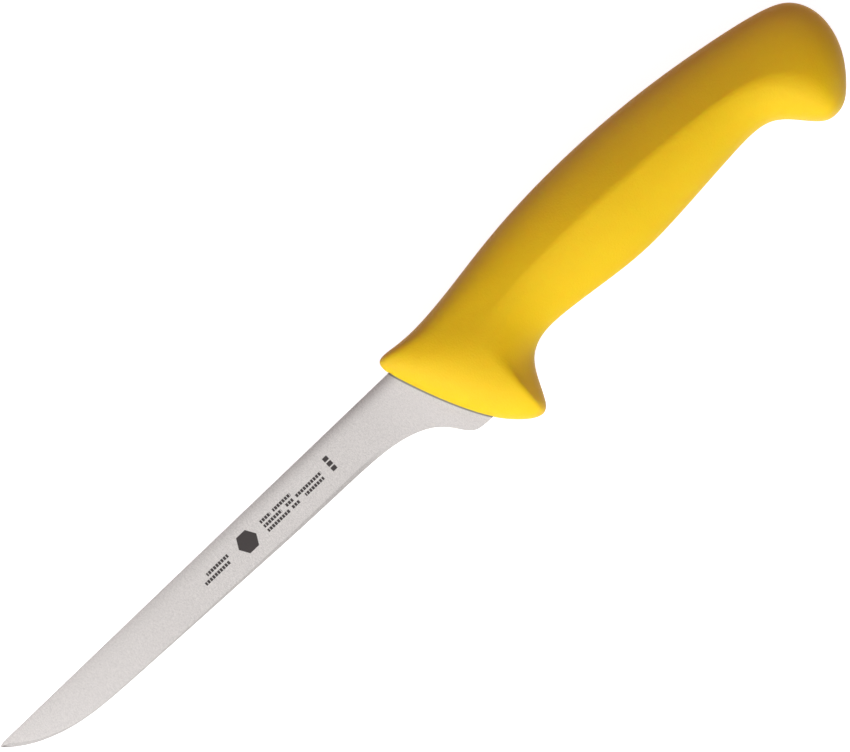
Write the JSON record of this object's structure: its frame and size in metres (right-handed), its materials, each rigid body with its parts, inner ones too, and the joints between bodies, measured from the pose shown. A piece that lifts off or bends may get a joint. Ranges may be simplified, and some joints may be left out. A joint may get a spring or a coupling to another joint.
{
  "type": "boning knife",
  "caption": "Boning knife with a narrow, slightly flexible steel blade and a moulded yellow polymer handle with a finger guard and a hooked pommel.",
  "frame": {"origin": "middle of the knife's outline in X and Y, at the lowest point of the handle when the knife lies on its side", "axes": "+X along the knife from the blade's point to the pommel, +Y from the cutting edge to the spine, +Z across the blade, up when the knife lies on its side"},
  "size_m": [0.305, 0.0474, 0.0246],
  "materials": {
    "blade_steel": "fine satin grind, light warm grey",
    "handle_polymer": "matte, lightly textured golden yellow"
  },
  "bodies": {
    "root": {"blade": "blade_steel", "handle": "handle_polymer"}
  },
  "joints": []
}
